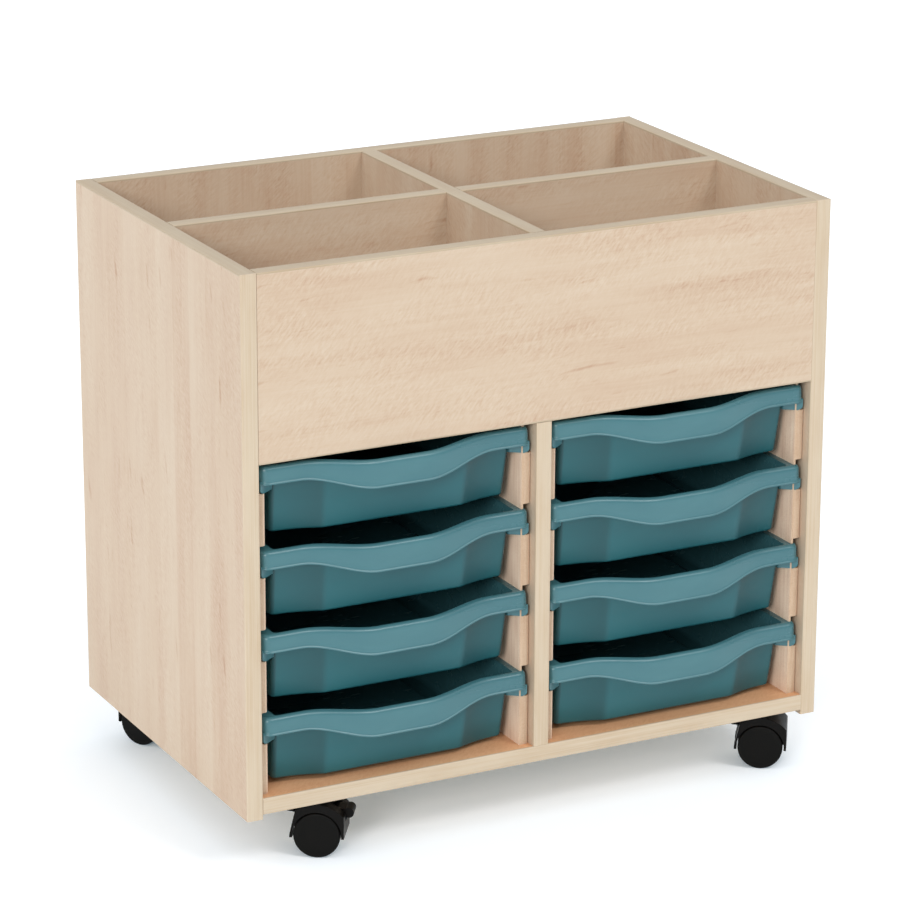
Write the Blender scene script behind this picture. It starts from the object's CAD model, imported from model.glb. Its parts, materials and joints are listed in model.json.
"""The looks of a mobile book cart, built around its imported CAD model.

Metres, +Z up, +X to the cart's right, +Y to its back. Small sizes are written in millimetres, times MM.
"""
import json
import math

import bmesh
import bpy
from mathutils import Matrix, Vector


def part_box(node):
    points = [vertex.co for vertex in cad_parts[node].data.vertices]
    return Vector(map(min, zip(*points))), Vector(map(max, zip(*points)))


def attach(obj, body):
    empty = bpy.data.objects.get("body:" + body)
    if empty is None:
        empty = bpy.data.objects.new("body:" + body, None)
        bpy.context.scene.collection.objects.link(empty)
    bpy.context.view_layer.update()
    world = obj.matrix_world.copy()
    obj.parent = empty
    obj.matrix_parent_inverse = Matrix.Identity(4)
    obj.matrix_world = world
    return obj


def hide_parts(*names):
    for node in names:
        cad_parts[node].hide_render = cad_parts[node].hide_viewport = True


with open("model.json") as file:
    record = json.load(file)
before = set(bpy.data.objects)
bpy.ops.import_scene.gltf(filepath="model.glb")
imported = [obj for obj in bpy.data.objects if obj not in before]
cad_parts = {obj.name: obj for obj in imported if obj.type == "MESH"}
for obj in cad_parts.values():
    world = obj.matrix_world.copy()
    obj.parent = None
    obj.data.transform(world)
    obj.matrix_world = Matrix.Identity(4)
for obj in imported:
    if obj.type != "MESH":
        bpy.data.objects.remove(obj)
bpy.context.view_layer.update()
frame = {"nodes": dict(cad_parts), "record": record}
NODES = frame["nodes"]
BODY_OF = {node: body for body, nodes in frame["record"]["behaviour"]["bodies"].items() for node in nodes}
MM = 0.001


# ---- Helpers ----

def srgb(red, green, blue):
    """A colour given as 0 to 255 sRGB, as linear RGBA."""
    def linear(value):
        value /= 255
        return value / 12.92 if value <= 0.04045 else ((value + 0.055) / 1.055) ** 2.4
    return (linear(red), linear(green), linear(blue), 1)


def tinted(colour, tint):
    """A 0 to 255 sRGB colour as linear RGBA, each channel multiplied by the tint."""
    return tuple(channel * factor for channel, factor in zip(srgb(*colour), tint)) + (1,)


def lerp(start, end, share):
    return start + (end - start) * share


def smooth(share):
    share = min(1.0, max(0.0, share))
    return share * share * (3 - 2 * share)


def new_object(name, bm, material, sharp_angle=35):
    """A named object from a bmesh, shaded smooth except at edges sharper than the angle."""
    bmesh.ops.recalc_face_normals(bm, faces=bm.faces)
    mesh = bpy.data.meshes.new(name)
    bm.to_mesh(mesh)
    bm.free()
    mesh.polygons.foreach_set("use_smooth", [True] * len(mesh.polygons))
    mesh.set_sharp_from_angle(angle=math.radians(sharp_angle))
    mesh.materials.append(material)
    obj = bpy.data.objects.new(name, mesh)
    bpy.context.scene.collection.objects.link(obj)
    return obj


def stand_in(obj, node):
    """obj takes the place of a CAD node: same body and the same material slot."""
    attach(obj, BODY_OF[node])
    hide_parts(node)
    return obj


# ---- Materials ----

class Tree:
    """Writes the nodes of one material. Each call gives back the new node's output."""

    def __init__(self, name):
        self.material = bpy.data.materials.new(name)
        self.material.use_nodes = True
        self.nodes = self.material.node_tree.nodes
        self.links = self.material.node_tree.links
        self.shader = self.nodes["Principled BSDF"]

    def feed(self, socket, value):
        if isinstance(value, bpy.types.NodeSocket):
            self.links.new(value, socket)
        else:
            socket.default_value = value

    def add(self, kind, inputs, output=0, **settings):
        node = self.nodes.new(kind)
        for name, value in settings.items():
            setattr(node, name, value)
        for name, value in inputs.items():
            self.feed(node.inputs[name], value)
        return node.outputs[output]

    def math(self, operation, first, second=0.0):
        return self.add("ShaderNodeMath", {0: first, 1: second}, operation=operation)

    def grain_space(self, along, across):
        """Object coordinates turned so that X runs along the grain and Y across it."""
        place = self.add("ShaderNodeTexCoord", {}, output="Object")
        split = self.nodes.new("ShaderNodeSeparateXYZ")
        self.links.new(place, split.inputs[0])
        third = next(axis for axis in "XYZ" if axis not in (along, across))
        return self.add("ShaderNodeCombineXYZ",
                        {"X": split.outputs[along], "Y": split.outputs[across], "Z": split.outputs[third]})

    def stretched(self, vector, scale, offset=(0, 0, 0), turn=0.0):
        return self.add("ShaderNodeMapping", {"Vector": vector, "Scale": scale, "Location": offset,
                                              "Rotation": (0, 0, turn)})

    def noise(self, vector, scale, detail=3.0, roughness=0.55, distortion=0.0):
        return self.add("ShaderNodeTexNoise",
                        {"Vector": vector, "Scale": scale, "Detail": detail, "Roughness": roughness,
                         "Distortion": distortion}, output="Fac")

    def remap(self, value, low, high, to_low=0.0, to_high=1.0):
        return self.add("ShaderNodeMapRange", {"Value": value, "From Min": low, "From Max": high,
                                               "To Min": to_low, "To Max": to_high})

    def facing(self, axis):
        """How far the surface looks along a world axis, from -1 to 1."""
        split = self.nodes.new("ShaderNodeSeparateXYZ")
        self.links.new(self.add("ShaderNodeNewGeometry", {}, output="Normal"), split.inputs[0])
        return split.outputs[axis]

    def ramp(self, value, stops):
        node = self.nodes.new("ShaderNodeValToRGB")
        self.links.new(value, node.inputs[0])
        elements = node.color_ramp.elements
        while len(elements) < len(stops):
            elements.new(0.5)
        for element, (position, colour) in zip(elements, stops):
            element.position = position
            element.color = colour
        return node.outputs[0]

    def mix(self, share, first, second, blend="MIX"):
        node = self.nodes.new("ShaderNodeMix")
        node.data_type = "RGBA"
        node.blend_type = blend
        self.feed(node.inputs[0], share)
        self.feed(node.inputs[6], first)
        self.feed(node.inputs[7], second)
        return node.outputs[2]

    def bump(self, height, strength, distance, normal=None):
        inputs = {"Height": height, "Strength": strength, "Distance": distance}
        if normal is not None:
            inputs["Normal"] = normal
        return self.add("ShaderNodeBump", inputs)

    def finish(self, colour, roughness, normal=None, **constants):
        self.feed(self.shader.inputs["Base Color"], colour)
        self.feed(self.shader.inputs["Roughness"], roughness)
        if normal is not None:
            self.feed(self.shader.inputs["Normal"], normal)
        for name, value in constants.items():
            self.shader.inputs[name.replace("_", " ")].default_value = value
        return self.material


def maple(name, along, across, tint, seed, banding, top_tint=None):
    """Printed maple foil: long soft staves, fine grain, patches of diagonal ripple and a few longer flecks.

    top_tint multiplies the colour of the faces that look up.
    """
    tree = Tree(name)
    plain = tree.grain_space(along, across)
    shifted = tree.stretched(plain, (1, 1, 1), offset=(seed * 0.37, seed * 0.21, seed * 0.13))
    wander = tree.noise(tree.stretched(shifted, (2.2, 9, 9)), 1.0, detail=2)
    sideways = tree.remap(wander, 0, 1, -9 * MM, 9 * MM)
    bend = tree.add("ShaderNodeCombineXYZ", {"X": 0.0, "Y": sideways, "Z": 0.0})
    grain = tree.add("ShaderNodeVectorMath", {0: shifted, 1: bend}, operation="ADD")
    fine = tree.noise(tree.stretched(grain, (14, 420, 420)), 1.0, detail=4, roughness=0.6)
    broad = tree.noise(tree.stretched(grain, (3.0, 50, 20)), 1.0, detail=5, roughness=0.55)
    cloud = tree.noise(tree.stretched(grain, (6, 26, 14)), 1.0, detail=3)
    stave = tree.add("ShaderNodeTexBrick",
                     {"Vector": shifted, "Color1": (0, 0, 0, 1), "Color2": (1, 1, 1, 1), "Scale": 1.0,
                      "Mortar Size": 0.0, "Bias": 0.0, "Brick Width": 9.0, "Row Height": 0.043},
                     offset=0.37, offset_frequency=2)
    slanted = tree.stretched(grain, (1, 1, 1), turn=math.radians(42))
    ripple = tree.noise(tree.stretched(slanted, (430, 110, 200)), 1.0, detail=2, roughness=0.65)
    patch = tree.remap(tree.noise(tree.stretched(grain, (8, 30, 20)), 1.0, detail=2), 0.36, 0.60, 0.25, 1.0)
    tilted = tree.stretched(grain, (1, 1, 1), turn=math.radians(-7))
    fleck = tree.remap(tree.noise(tree.stretched(tilted, (30, 170, 90)), 1.0, detail=2), 0.66, 0.76)
    knot = tree.remap(tree.noise(tree.stretched(tilted, (11, 66, 12)), 1.0, detail=2), 0.69, 0.77)

    rippled = tree.math("MULTIPLY", tree.math("SUBTRACT", ripple, 0.5), patch)
    value = tree.math("ADD", tree.math("MULTIPLY", rippled, 0.95), 0.52)
    for part, weight in ((fine, 0.30), (broad, 0.55), (cloud, 0.48), (stave, banding)):
        value = tree.math("ADD", tree.math("MULTIPLY", tree.math("SUBTRACT", part, 0.5), weight), value)
    for mark, depth in ((fleck, 0.20), (knot, 0.34)):
        value = tree.math("SUBTRACT", value, tree.math("MULTIPLY", mark, depth))
    colour = tree.ramp(value, [(0.05, tinted((203, 169, 143), tint)), (0.34, tinted((219, 195, 172), tint)),
                               (0.54, tinted((226, 207, 185), tint)), (0.85, tinted((233, 219, 200), tint))])
    if top_tint is not None:
        upward = tree.remap(tree.facing("Z"), 0.4, 0.6)
        colour = tree.mix(upward, colour, tree.mix(1.0, colour, top_tint, "MULTIPLY"))
    pores = tree.bump(fine, 0.10, 0.05 * MM)
    skin = tree.bump(tree.noise(plain, 900.0, detail=2), 0.12, 0.03 * MM, normal=pores)
    rough = tree.remap(broad, 0.3, 0.7, 0.42, 0.52)
    return tree.finish(colour, rough, skin, Specular_IOR_Level=0.35)


def edging_material(name, along, across, tint):
    """Plastic edging printed with fine lines that run along the strip, a little yellower than the boards."""
    tree = Tree(name)
    space = tree.grain_space(along, across)
    lines = tree.noise(tree.stretched(space, (5, 620, 620)), 1.0, detail=3, roughness=0.5)
    cloud = tree.noise(tree.stretched(space, (12, 60, 60)), 1.0, detail=3)
    value = tree.math("ADD", tree.math("MULTIPLY", lines, 0.5), tree.math("MULTIPLY", cloud, 0.5))
    colour = tree.ramp(value, [(0.32, tinted((219, 197, 167), tint)), (0.50, tinted((227, 210, 184), tint)),
                               (0.68, tinted((233, 219, 195), tint))])
    skin = tree.bump(lines, 0.08, 0.04 * MM)
    return tree.finish(colour, tree.remap(cloud, 0.3, 0.7, 0.36, 0.46), skin, Specular_IOR_Level=0.4)


def fibre_board(name, tint, face_tint):
    """Wood fibre board, pinkish and matt. face_tint lightens its sanded faces, which look along X."""
    tree = Tree(name)
    space = tree.grain_space("Z", "Y")
    fibres = tree.noise(space, 900.0, detail=3, roughness=0.7)
    streaks = tree.noise(tree.stretched(space, (14, 230, 230)), 1.0, detail=3)
    clouds = tree.noise(space, 35.0, detail=2)
    value = tree.math("ADD", tree.math("MULTIPLY", fibres, 0.4), tree.math("MULTIPLY", streaks, 0.4))
    value = tree.math("ADD", value, tree.math("MULTIPLY", clouds, 0.2))
    colour = tree.ramp(value, [(0.34, tinted((204, 170, 147), tint)), (0.50, tinted((221, 192, 170), tint)),
                               (0.64, tinted((231, 207, 187), tint))])
    faces = tree.remap(tree.math("ABSOLUTE", tree.facing("X")), 0.2, 0.9)
    colour = tree.mix(faces, colour, tree.mix(1.0, colour, face_tint, "MULTIPLY"))
    rough = tree.remap(fibres, 0.3, 0.7, 0.62, 0.78)
    return tree.finish(colour, rough, tree.bump(fibres, 0.35, 0.12 * MM), Specular_IOR_Level=0.3)


def tray_plastic(name, tint, grit_depth, gloss, cove_shade=0.0):
    """Moulded teal polypropylene: a satin skin with a fine texture, faint flow marks and rubbed spots.

    cove_shade darkens the parts turned away from the front, where the mould's texture is coarser.
    """
    tree = Tree(name)
    space = tree.add("ShaderNodeTexCoord", {}, output="Object")
    flow = tree.noise(tree.stretched(space, (5, 9, 16)), 1.0, detail=3, distortion=0.6)
    grit = tree.noise(space, 1500.0, detail=2)
    rubs = tree.noise(tree.stretched(space, (22, 60, 60)), 1.0, detail=4, roughness=0.65)
    colour = tree.ramp(flow, [(0.32, tinted((78, 130, 138), tint)), (0.52, tinted((84, 137, 145), tint)),
                              (0.72, tinted((91, 144, 151), tint))])
    colour = tree.mix(tree.remap(rubs, 0.60, 0.78, 0.0, 0.09), colour, tinted((118, 162, 168), tint))
    turned = tree.remap(tree.math("ABSOLUTE", tree.facing("X")), 0.03, 0.40, 0.0, cove_shade)
    colour = tree.mix(turned, colour, (0.0, 0.0, 0.0, 1))
    satin = tree.remap(flow, 0.3, 0.7, gloss, gloss + 0.06)
    rough = tree.math("ADD", satin, tree.remap(rubs, 0.55, 0.75, 0.0, 0.08))
    skin = tree.bump(grit, grit_depth, 0.05 * MM)
    return tree.finish(colour, rough, skin, Specular_IOR_Level=0.5, IOR=1.49)


def black_nylon(name, colour, roughness, grit_scale):
    """Black moulded nylon with a spark-eroded texture and a trace of dust."""
    tree = Tree(name)
    space = tree.add("ShaderNodeTexCoord", {}, output="Object")
    grit = tree.noise(space, grit_scale, detail=3)
    dust = tree.noise(space, 90.0, detail=5, roughness=0.7)
    dusty = tinted(colour, (2.4, 2.4, 2.4))
    shade = tree.mix(tree.remap(dust, 0.52, 0.80, 0.0, 0.35), srgb(*colour), dusty)
    rough = tree.remap(dust, 0.3, 0.7, roughness - 0.05, roughness + 0.08)
    return tree.finish(shade, rough, tree.bump(grit, 0.3, 0.08 * MM), Specular_IOR_Level=0.10)


def plated_steel(name, colour, roughness):
    """Zinc-plated steel: fine drawn scratches and cloudy plating."""
    tree = Tree(name)
    space = tree.add("ShaderNodeTexCoord", {}, output="Object")
    cloud = tree.noise(space, 160.0, detail=4)
    scratch = tree.noise(tree.stretched(space, (2200, 160, 2200)), 1.0, detail=2)
    dull = tuple(channel * 0.78 for channel in colour[:3]) + (1,)
    shade = tree.mix(tree.remap(cloud, 0.35, 0.70), colour, dull)
    rough = tree.remap(scratch, 0.3, 0.7, roughness - 0.06, roughness + 0.08)
    return tree.finish(shade, rough, tree.bump(scratch, 0.15, 0.02 * MM), Metallic=1.0)


def raw_beech():
    tree = Tree("dowel_wood")
    space = tree.grain_space("X", "Y")
    grain = tree.noise(tree.stretched(space, (30, 900, 900)), 1.0, detail=3)
    colour = tree.ramp(grain, [(0.3, srgb(178, 138, 96)), (0.7, srgb(214, 178, 134))])
    return tree.finish(colour, tree.remap(grain, 0.3, 0.7, 0.55, 0.7), tree.bump(grain, 0.2, 0.05 * MM))


BOARD_TINT = (0.72, 0.67, 0.62)
BASE_TOP_TINT = (1.36, 0.96, 0.70, 1)
EDGE_TINT = (0.705, 0.67, 0.64)
TOP_TINT = (0.60, 0.57, 0.53)
FACE_BANDING, SIDE_BANDING = 0.06, 0.20
board_grain = {
    "side_panel_left": ("Z", "Y", SIDE_BANDING), "side_panel_right": ("Z", "Y", SIDE_BANDING),
    "back_panel": ("Z", "X", SIDE_BANDING), "front_panel": ("X", "Z", FACE_BANDING),
    "base_panel": ("X", "Y", FACE_BANDING), "bin_floor": ("X", "Y", FACE_BANDING),
    "lower_divider": ("Z", "Y", SIDE_BANDING), "bin_divider_long": ("Z", "Y", SIDE_BANDING),
    "bin_divider_cross": ("X", "Z", FACE_BANDING),
}
edging_by_grain = {
    "ZX": edging_material("edging_upright", "Z", "X", EDGE_TINT),
    "XZ": edging_material("edging_front", "X", "Z", EDGE_TINT),
    "YX": edging_material("edging_top_deep", "Y", "X", TOP_TINT),
    "XY": edging_material("edging_top_wide", "X", "Y", TOP_TINT),
}
runner_board = fibre_board("runner_board", (0.74, 0.72, 0.64), (1.7, 1.75, 1.9, 1))
rim_plastic = tray_plastic("tray_rim_plastic", (0.55, 0.60, 0.60), 0.12, 0.25)
body_plastic = tray_plastic("tray_body_plastic", (0.10, 0.38, 0.39), 0.30, 0.40, cove_shade=0.38)
hood_material = black_nylon("caster_nylon", (12, 10, 8), 0.34, 1600.0)
wheel_material = black_nylon("wheel_nylon", (10, 9, 7), 0.46, 1100.0)
plate_material = plated_steel("caster_plate_steel", (0.56, 0.56, 0.55, 1), 0.34)
axle_material = plated_steel("axle_steel", (0.60, 0.60, 0.61, 1), 0.26)
screw_material = plated_steel("zinc_screw", (0.62, 0.60, 0.55, 1), 0.30)


# ---- CAD nodes that stay ----

def ease_edges(node, width, segments=2, angle=35):
    """Softens the edges of a CAD node with modifiers; its own mesh stays as it is."""
    weld = node.modifiers.new("weld", "WELD")
    weld.merge_threshold = 0.005 * MM
    bevel = node.modifiers.new("bevel", "BEVEL")
    bevel.width = width
    bevel.segments = segments
    bevel.limit_method = "ANGLE"
    bevel.angle_limit = math.radians(angle)
    bevel.miter_outer = "MITER_ARC"
    normals = node.modifiers.new("normals", "WEIGHTED_NORMAL")
    normals.keep_sharp = False


def paint(node, material):
    NODES[node].material_slots[0].material = material


def finish_boards():
    for seed, (node, (along, across, banding)) in enumerate(board_grain.items()):
        top_tint = BASE_TOP_TINT if node == "base_panel" else None
        paint(node, maple("maple_" + node, along, across, BOARD_TINT, seed + 1, banding, top_tint))
        ease_edges(NODES[node], 0.25 * MM)


def finish_hardware():
    paint("dowels", raw_beech())
    for node in ("runner_screws", "caster_screws"):
        paint(node, screw_material)
        ease_edges(NODES[node], 0.2 * MM, angle=60)
    for node, obj in NODES.items():
        if node.startswith("caster_plate"):
            paint(node, plate_material)
            ease_edges(obj, 0.4 * MM, angle=60)
        if node.startswith("axle"):
            paint(node, axle_material)
            ease_edges(obj, 0.4 * MM, angle=60)
        if node.startswith(("caster_hood", "brake_lever")):
            paint(node, hood_material)
            ease_edges(obj, 0.8 * MM, segments=3, angle=50)
        if node.startswith("wheel"):
            paint(node, wheel_material)
            ease_edges(obj, 0.3 * MM, angle=50)


# ---- Edging strips ----

EDGING_T = 2 * MM
EDGING_ROUND = 1.1 * MM
JOINT_ROUND = 0.15 * MM


def strip(bm, low, high, outward, slot):
    """One edging strip between two corners, with the long edges of its outward face rounded."""
    centre, size = (low + high) / 2, high - low
    made = bmesh.ops.create_cube(bm, size=1, matrix=Matrix.Translation(centre) @ Matrix.Diagonal((*size, 1)))
    corners = made["verts"]
    long_axis = max(range(3), key=lambda axis: size[axis])
    edges = {edge for vertex in corners for edge in vertex.link_edges}

    def on_face(edge):
        return all((vertex.co - centre).dot(outward) > 0 for vertex in edge.verts)

    def runs_long(edge):
        return abs((edge.verts[0].co - edge.verts[1].co)[long_axis]) > 0.9 * size[long_axis]

    rounded = [edge for edge in edges if on_face(edge) and runs_long(edge)]
    ends = [edge for edge in edges if on_face(edge) and not runs_long(edge)]
    for face in {face for vertex in corners for face in vertex.link_faces}:
        face.material_index = slot
    bmesh.ops.bevel(bm, geom=rounded, offset=EDGING_ROUND, segments=4, profile=0.5,
                    affect="EDGES", material=slot)
    ends = [edge for edge in ends if edge.is_valid]
    bmesh.ops.bevel(bm, geom=ends, offset=JOINT_ROUND, segments=1, profile=0.5,
                    affect="EDGES", material=slot)


def edging(node, strips):
    """The strips of one edging node: each is (low, high, outward direction, grain of its print)."""
    grains = sorted({grain for *_, grain in strips})
    bm = bmesh.new()
    for low, high, outward, grain in strips:
        strip(bm, Vector(low), Vector(high), Vector(outward), grains.index(grain))
    obj = new_object(node + "_strips", bm, edging_by_grain[grains[0]])
    for grain in grains[1:]:
        obj.data.materials.append(edging_by_grain[grain])
    return stand_in(obj, node)


def build_edging():
    t = EDGING_T
    for side in ("left", "right"):
        node = "edging_side_" + side
        (x0, y0, z0), (x1, y1, z1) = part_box(node)
        edging(node, [((x0, y0, z0), (x1, y0 + t, z1), (0, -1, 0), "ZX"),
                      ((x0, y1 - t, z0), (x1, y1, z1), (0, 1, 0), "ZX"),
                      ((x0, y0 + t, z1 - t), (x1, y1 - t, z1), (0, 0, 1), "YX")])
    (x0, y0, z0), (x1, y1, z1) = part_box("edging_front_panel")
    edging("edging_front_panel", [((x0, y0, z1 - t), (x1, y1, z1), (0, 0, 1), "XY"),
                                  ((x0, y0, z0), (x1, y1, z0 + t), (0, 0, -1), "XY")])
    edging("edging_back_panel", [(*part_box("edging_back_panel"), (0, 0, 1), "XY")])
    edging("edging_base", [(*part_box("edging_base"), (0, -1, 0), "XZ")])
    edging("edging_lower_divider", [(*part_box("edging_lower_divider"), (0, -1, 0), "ZX")])
    (x0, y0, z0), (x1, y1, z1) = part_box("edging_bin_dividers")
    long_low, long_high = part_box("bin_divider_long")
    cross_low, cross_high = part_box("bin_divider_cross")
    edging("edging_bin_dividers", [((long_low.x, y0, z0), (long_high.x, y1, z1), (0, 0, 1), "YX"),
                                   ((x0, cross_low.y, z0), (long_low.x, cross_high.y, z1), (0, 0, 1), "XY"),
                                   ((long_high.x, cross_low.y, z0), (x1, cross_high.y, z1), (0, 0, 1), "XY")])


# ---- Trays ----
# A tray is drawn around x = 0 in millimetres, with y from the front edge of the cabinet and z = 0 at the top
# of its rim. Its skin is a grid: each station is a column round the tray, and each row is a loop from the
# inside of the floor, up the walls, over the rim and down outside to the underside.

tray_low, tray_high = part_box("tray_left_1")
panel_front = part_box("edging_side_left")[0].y
TRAY_HALF = (tray_high.x - tray_low.x) / 2 / MM
TRAY_H = (tray_high.z - tray_low.z) / MM
LIP_FRONT = (tray_low.y - panel_front) / MM
TRAY_REAR = (tray_high.y - panel_front) / MM
WALL = 2
LIP_BULGE = 15
LIP_END = LIP_FRONT + LIP_BULGE
LIP_DIP = 5.5
LIP_H = 19
LIP_DROP = 16
WAVE_FLAT, WAVE_END = 28, 112
RIM_CORNER = 12
RIM_ROUND = 5
DECK_W = 8.5
FLANGE_W = 18
SKIRT_H = 29
SKIRT_ROUND = 5
REAR_SKIRT_H = 12
BODY_ROUND = 5
FLOOR_ROUND = 6
FOOT_ROUND = 3
BODY_TAPER = 3
FRONT_SETBACK = 15
FRONT_LEAN = 14
REAR_GAP, REAR_LEAN = 12, 6
COVE_W, COVE_D, CREASE = 55, 12, 0.008
LUG_FRONT, LUG_SLANT, LUG_BACK = 4, 12, 24
LUG_INSET = 1.4
LIP_DRAFT, SKIRT_DRAFT = 2.4, 1.0
FLOOR_PAD = ((26, 0.8), (24, 0.8), (22.5, 0), (FLOOR_ROUND + 1, 0))
INNER_ROWS = (-48, -30, -20)
OUTER_ROWS = (-22, -32, -50)
FRONT_STEPS, SIDE_STEPS, REAR_STEPS, CORNER_STEPS = 72, 14, 12, 9
# The step round a corner, counted from the front or from the rear, where the side skirt's hem takes over.
HEM_STEP = 6
QUARTER = [math.pi / 2 * step / 4 for step in range(5)]


def wave(x):
    """0 at the ends of the lip and 1 in its middle."""
    return smooth((WAVE_END - abs(x)) / (WAVE_END - WAVE_FLAT))


def tray_stations():
    """(place, share, kind of hem) for each column: share is how far along the stretch called place."""
    def straight(place, hem_kind, steps):
        return [(place, step / steps, hem_kind) for step in range(steps + 1)]

    def corner(place, hem_kind, first, last):
        return [(place, step / CORNER_STEPS, hem_kind) for step in range(first, last + 1)]
    last_step = CORNER_STEPS - 1
    mirrored_step = CORNER_STEPS - HEM_STEP
    found = straight("front", "lip", FRONT_STEPS)
    found += corner("front_right", "lip", 1, HEM_STEP) + corner("front_right", "skirt", HEM_STEP, last_step)
    found += straight("right", "skirt", SIDE_STEPS)
    found += corner("rear_right", "skirt", 1, mirrored_step)
    found += corner("rear_right", "rear", mirrored_step, last_step)
    found += straight("rear", "rear", REAR_STEPS)
    found += corner("rear_left", "rear", 1, HEM_STEP) + corner("rear_left", "skirt", HEM_STEP, last_step)
    found += straight("left", "skirt", SIDE_STEPS)
    found += corner("front_left", "skirt", 1, mirrored_step)
    found += corner("front_left", "lip", mirrored_step, last_step)
    return found


def outline(station, half, rear, front_round, rear_round, front_line):
    """A point of a tray outline, anticlockwise from its front left. front_line gives the front edge's y."""
    place, share, _ = station
    corner_y = front_line(half - front_round) + front_round
    if place == "front":
        x = lerp(front_round - half, half - front_round, share)
        return x, front_line(x)
    if place in ("front_right", "front_left"):
        angle = math.pi / 2 * (share if place == "front_right" else 1 - share)
        x = half - front_round * (1 - math.sin(angle))
        return (x if place == "front_right" else -x), corner_y - front_round * math.cos(angle)
    if place == "right":
        return half, lerp(corner_y, rear - rear_round, share)
    if place == "left":
        return -half, lerp(rear - rear_round, corner_y, share)
    if place in ("rear_right", "rear_left"):
        angle = math.pi / 2 * (share if place == "rear_right" else 1 - share)
        x = half - rear_round * (1 - math.cos(angle))
        return (x if place == "rear_right" else -x), rear - rear_round * (1 - math.sin(angle))
    return lerp(half - rear_round, rear_round - half, share), rear


def rim_point(station, inset, side_inset=None, rear_inset=None):
    """A point of the rim's outline, drawn in by inset."""
    side = inset if side_inset is None else side_inset
    back = inset if rear_inset is None else rear_inset
    return outline(station, TRAY_HALF - side, TRAY_REAR - back,
                   max(RIM_CORNER - inset, 3), max(RIM_CORNER - back, 4),
                   lambda x: LIP_END + inset - LIP_BULGE * wave(x))


def body_point(station, inset, z):
    """A point of the tapered body at height z, drawn in by inset. Coves set its front back at the sides."""
    up = (z + TRAY_H) / TRAY_H
    half = TRAY_HALF - FLANGE_W - BODY_TAPER * (1 - up) - inset
    front = LIP_END + FRONT_SETBACK - FRONT_LEAN * up + inset
    rear = TRAY_REAR - REAR_GAP - REAR_LEAN * (1 - up) - inset

    def front_line(x):
        into = (abs(x) - half - inset + COVE_W) / COVE_W
        into = min(1.0, (into + math.hypot(into, CREASE)) / 2)
        return front + COVE_D * (1 - (1 - into) ** 2)
    corner = max(BODY_ROUND - inset * 0.5, 2.5)
    return outline(station, half, rear, corner, corner + 3, front_line)


def hem(kind, depth):
    """(inset, z) down, round and up the bottom edge of the lip, the rolled side skirt or the rear skirt."""
    if kind == "lip":
        points = [(1.4, 3.4), (1.2, 2.5), (0.9, 2.0), (0.45, 1.6), (0.12, 1.1), (0.1, 0.6), (0.45, 0.15)]
        points += [(1.2, 0), (2.0, 0.1), (2.5, 0.6), (2.9, 1.6), (3.1, 3.0)]
    elif kind == "skirt":
        inner_round = SKIRT_ROUND - WALL
        points = [(1 + SKIRT_ROUND * (1 - math.cos(angle)), SKIRT_ROUND * (1 - math.sin(angle)))
                  for angle in QUARTER]
        points += [(8.6, 0), (9.2, 0.9), (8.6, 1.8)]
        points += [(3 + inner_round * (1 - math.cos(angle)), WALL + inner_round * (1 - math.sin(angle)))
                   for angle in reversed(QUARTER[:4])]
    else:
        points = [(1, 4), (1, 2.5), (1, 1.2), (1.1, 0.6), (1.4, 0.2), (1.9, 0)]
        points += [(2.2, 0), (2.6, 0.2), (2.9, 0.6), (3, 1.2), (3, 2.5), (3, 4)]
    return [(inset, above - depth) for inset, above in points]


def tray_column(station):
    """The points of one column of the skin, and how many of them come before its outer body."""
    place, share, kind = station
    dip = wave(rim_point(station, 0)[0]) if place == "front" else 0.0
    draft = {"lip": LIP_DRAFT, "skirt": SKIRT_DRAFT, "rear": SKIRT_DRAFT}[kind]
    if place in ("front_right", "front_left"):
        draft = lerp(LIP_DRAFT, SKIRT_DRAFT, share if place == "front_right" else 1 - share)
    depth = {"lip": LIP_H + LIP_DROP * dip, "skirt": SKIRT_H, "rear": REAR_SKIRT_H}[kind]
    top = -LIP_DIP * dip
    floor = -TRAY_H + WALL
    column = []

    def body(inset, z):
        column.append((*body_point(station, inset, z), z))

    def rim(inset, z, **insets):
        column.append((*rim_point(station, inset, **insets), z))

    for inset, rise in FLOOR_PAD:
        body(WALL + inset, floor + rise)
    for angle in QUARTER:
        body(WALL + FLOOR_ROUND * (1 - math.sin(angle)), floor + FLOOR_ROUND * (1 - math.cos(angle)))
    for z in INNER_ROWS:
        body(WALL, z)
    rim(DECK_W + 1.2, top - 4.5, side_inset=FLANGE_W, rear_inset=REAR_GAP + 1.5)
    for angle in QUARTER[1:]:
        fall = 1.2 * (1 - math.sin(angle))
        rim(DECK_W + fall, top - fall, side_inset=FLANGE_W - 1.5, rear_inset=REAR_GAP)
    rim((DECK_W + draft + RIM_ROUND) / 2, top)
    for angle in QUARTER:
        rim(draft + RIM_ROUND * (1 - math.sin(angle)), top - RIM_ROUND * (1 - math.cos(angle)))
    edge = hem(kind, depth)
    for step in (1, 2):
        rim(lerp(draft, edge[0][0], step / 3), lerp(top - RIM_ROUND, edge[0][1], step / 3))
    for inset, z in edge:
        rim(inset, z)
    rim(draft + WALL, top - RIM_ROUND - 1)
    rim(draft + WALL + 1.5, top - WALL)
    rim(DECK_W + 0.5, top - WALL - 0.5, side_inset=FLANGE_W - 2, rear_inset=REAR_GAP - 1)
    outer_body = len(column)
    for z in OUTER_ROWS:
        body(0, z)
    for angle in reversed(QUARTER):
        body(FOOT_ROUND * (1 - math.sin(angle)), -TRAY_H + FOOT_ROUND * (1 - math.cos(angle)))
    body(FOOT_ROUND + 5, -TRAY_H)
    body(FOOT_ROUND + 6.5, -TRAY_H + 1.2)
    body(FOOT_ROUND + 22, -TRAY_H + 1.2)
    return column, outer_body


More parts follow.
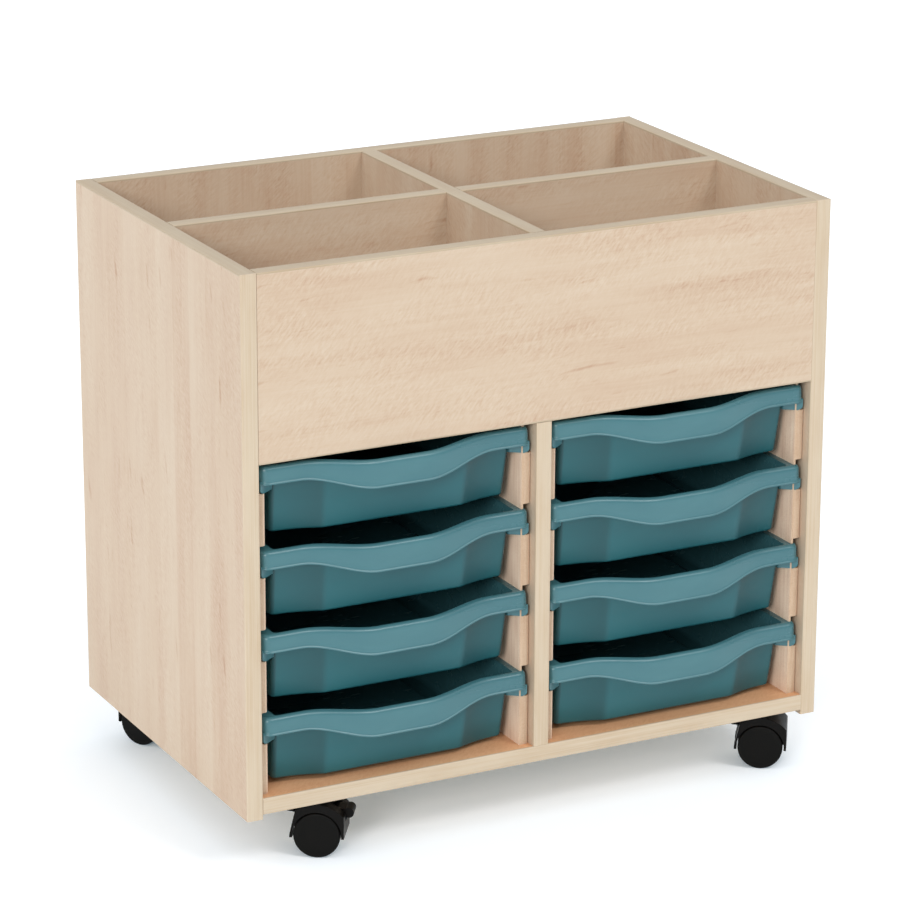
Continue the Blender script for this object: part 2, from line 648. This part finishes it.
def add_lug(bm, side):
    """The closed front end of a side skirt, whose face slants back to the corner of the body."""
    outer = TRAY_HALF - LUG_INSET
    inner = TRAY_HALF - FLANGE_W - 2
    high, low = -LIP_H + 3, -SKIRT_H
    section = [(inner, high), (outer, high)]
    section += [(outer - SKIRT_ROUND * (1 - math.cos(angle)), low + SKIRT_ROUND * (1 - math.sin(angle)))
                for angle in QUARTER]
    section += [(inner, low)]

    def slant(x):
        return LUG_FRONT + LUG_SLANT * (outer - x) / (outer - inner)

    def ring(depth):
        return [bm.verts.new(Vector((side * x, LIP_END + depth(x), z)) * MM) for x, z in section]
    front, rear = ring(slant), ring(lambda x: LUG_BACK)
    for index in range(len(section)):
        after = (index + 1) % len(section)
        bm.faces.new((front[index], front[after], rear[after], rear[index]))
    face = bm.faces.new(front)
    bm.faces.new(rear)
    bmesh.ops.bevel(bm, geom=list(face.edges), offset=1.2 * MM, segments=3, profile=0.5, affect="EDGES")


def tray_mesh():
    bm = bmesh.new()
    made = [tray_column(station) for station in tray_stations()]
    columns = [[bm.verts.new(Vector(point) * MM) for point in column] for column, _ in made]
    outer_body = made[0][1]
    for index, column in enumerate(columns):
        following = columns[(index + 1) % len(columns)]
        for row in range(len(column) - 1):
            face = bm.faces.new((column[row], following[row], following[row + 1], column[row + 1]))
            face.material_index = int(row >= outer_body - 1)
    bm.faces.new([column[0] for column in columns])
    bm.faces.new([column[-1] for column in columns]).material_index = 1
    bmesh.ops.remove_doubles(bm, verts=bm.verts, dist=0.002 * MM)
    for side in (-1, 1):
        add_lug(bm, side)
    return bm


def build_trays():
    nodes = sorted(name for name in NODES if name.startswith("tray_"))
    shared = new_object(nodes[0].replace("tray_", "tray_shell_"), tray_mesh(), rim_plastic, sharp_angle=40)
    shared.data.materials.append(body_plastic)
    for node in nodes:
        obj = shared
        if node != nodes[0]:
            obj = bpy.data.objects.new(node.replace("tray_", "tray_shell_"), shared.data)
            bpy.context.scene.collection.objects.link(obj)
        low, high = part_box(node)
        obj.location = ((low.x + high.x) / 2, panel_front, high.z)
        stand_in(obj, node)


# ---- Runners ----
# A section is in millimetres, with x from the runner's low x face, so every groove opens towards higher x.
# Known fault: runner_left_inner and runner_right_outer should be drawn from their high x face instead.

GROOVE_DEPTH = 9.5
GROOVE_ROUND = 5.5
GROOVE_LOW, GROOVE_HIGH = -29.5, 5.5
RUNNER_NOSE = 4.5
SCREW_PROUD = 0.15


def build_runner(node, trays):
    low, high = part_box(node)
    thick = (high.x - low.x) / MM - SCREW_PROUD
    web = thick - GROOVE_DEPTH
    outline_points = [(0, low.z / MM), (thick, low.z / MM)]
    for rim in sorted(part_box(tray)[1].z / MM for tray in trays):
        outline_points += [(thick, rim + GROOVE_LOW), (web + GROOVE_ROUND, rim + GROOVE_LOW)]
        outline_points += [(web + GROOVE_ROUND * (1 - math.sin(angle)),
                            rim + GROOVE_LOW + GROOVE_ROUND * (1 - math.cos(angle))) for angle in QUARTER[1:]]
        outline_points += [(web, rim + GROOVE_HIGH), (thick, rim + GROOVE_HIGH)]
    if outline_points[-1][1] < high.z / MM - 1:
        outline_points += [(thick, high.z / MM)]
    else:
        outline_points[-2:] = [(web, high.z / MM)]
    outline_points += [(0, high.z / MM)]
    bm = bmesh.new()
    rings = [[bm.verts.new((low.x + x * MM, y, z * MM)) for x, z in outline_points]
             for y in (low.y, high.y)]
    count = len(outline_points)
    for index in range(count):
        after = (index + 1) % count
        bm.faces.new((rings[0][index], rings[0][after], rings[1][after], rings[1][index]))
    nose = bm.faces.new(rings[0])
    bm.faces.new(rings[1])
    inner_x = low.x + thick * MM
    upright = [edge for edge in nose.edges
               if all(abs(vertex.co.x - inner_x) < 0.01 * MM for vertex in edge.verts)]
    bmesh.ops.bevel(bm, geom=upright, offset=RUNNER_NOSE * MM, segments=6, profile=0.5, affect="EDGES")
    stand_in(new_object(node + "_grooved", bm, runner_board, sharp_angle=30), node)


def build_runners():
    for bay in ("left", "right"):
        trays = [name for name in NODES if name.startswith("tray_" + bay)]
        for place in ("outer", "inner"):
            build_runner("runner_" + bay + "_" + place, trays)


# ---- Floor, light and camera ----

FLOOR_REACH = 40
SKY_SIDES, SKY_TOP = 0.38, 1.15
FLOOR_GLOW = 0.14
CAMERA_X, CAMERA_BEFORE_PANEL, CAMERA_Z = -1.8752, 3.4401, 1.6813
CAMERA_YAW, CAMERA_PITCH, CAMERA_ROLL = 27.1525, 17.8992, 0.1719
CAMERA_LENS, CAMERA_SENSOR = 157.42, 36
SUNS = {
    # name: (direction the light comes from, strength, angle of its disc in degrees)
    "left_key": ((-1.0, -1.0, 0.55), 1.2, 18),
    "right_key": ((0.45, -0.85, 1.05), 0.75, 18),
    "left_fill": ((-1.0, 0.1, 0.75), 0.3, 45),
}


def build_stage():
    bm = bmesh.new()
    bmesh.ops.create_grid(bm, x_segments=1, y_segments=1, size=FLOOR_REACH)
    tree = Tree("studio_floor")
    space = tree.add("ShaderNodeTexCoord", {}, output="Object")
    cloud = tree.noise(space, 6.0, detail=3)
    colour = tree.mix(cloud, (0.955, 0.955, 0.96, 1), (0.97, 0.97, 0.975, 1))
    material = tree.finish(colour, 0.7, Specular_IOR_Level=0.1, Emission_Color=(0.66, 0.95, 1.10, 1),
                           Emission_Strength=FLOOR_GLOW)
    new_object("studio_floor", bm, material)
    world = bpy.data.worlds.new("studio")
    world.use_nodes = True
    nodes, links = world.node_tree.nodes, world.node_tree.links
    sky = nodes["Background"]
    sky.inputs["Color"].default_value = (0.96, 0.99, 1.03, 1)
    direction = nodes.new("ShaderNodeTexCoord")
    split = nodes.new("ShaderNodeSeparateXYZ")
    strength = nodes.new("ShaderNodeMapRange")
    strength.inputs["To Min"].default_value = SKY_SIDES
    strength.inputs["To Max"].default_value = SKY_TOP
    links.new(direction.outputs["Generated"], split.inputs[0])
    links.new(split.outputs["Z"], strength.inputs["Value"])
    links.new(strength.outputs[0], sky.inputs["Strength"])
    bpy.context.scene.world = world


def build_lights():
    for name, (source, strength, disc) in SUNS.items():
        sun = bpy.data.lights.new(name, "SUN")
        sun.energy = strength
        sun.angle = math.radians(disc)
        obj = bpy.data.objects.new(name, sun)
        obj.rotation_euler = (-Vector(source)).to_track_quat("-Z", "Y").to_euler()
        bpy.context.scene.collection.objects.link(obj)


def build_camera():
    """The camera looks down on the cart from its front left."""
    place = Vector((CAMERA_X, panel_front - CAMERA_BEFORE_PANEL, CAMERA_Z))
    yaw, pitch, roll = (math.radians(angle) for angle in (CAMERA_YAW, CAMERA_PITCH, CAMERA_ROLL))
    ahead = Vector((math.sin(yaw) * math.cos(pitch), math.cos(yaw) * math.cos(pitch), -math.sin(pitch)))
    data = bpy.data.cameras.new("camera")
    data.sensor_width = CAMERA_SENSOR
    data.lens = CAMERA_LENS
    data.clip_start, data.clip_end = 0.1, 100
    camera = bpy.data.objects.new("camera", data)
    camera.matrix_world = (Matrix.Translation(place) @ ahead.to_track_quat("-Z", "Y").to_matrix().to_4x4()
                           @ Matrix.Rotation(roll, 4, "Z"))
    bpy.context.scene.collection.objects.link(camera)
    bpy.context.scene.camera = camera
    bpy.context.scene.view_settings.view_transform = "Standard"


finish_boards()
finish_hardware()
build_edging()
build_trays()
build_runners()
build_stage()
build_lights()
build_camera()
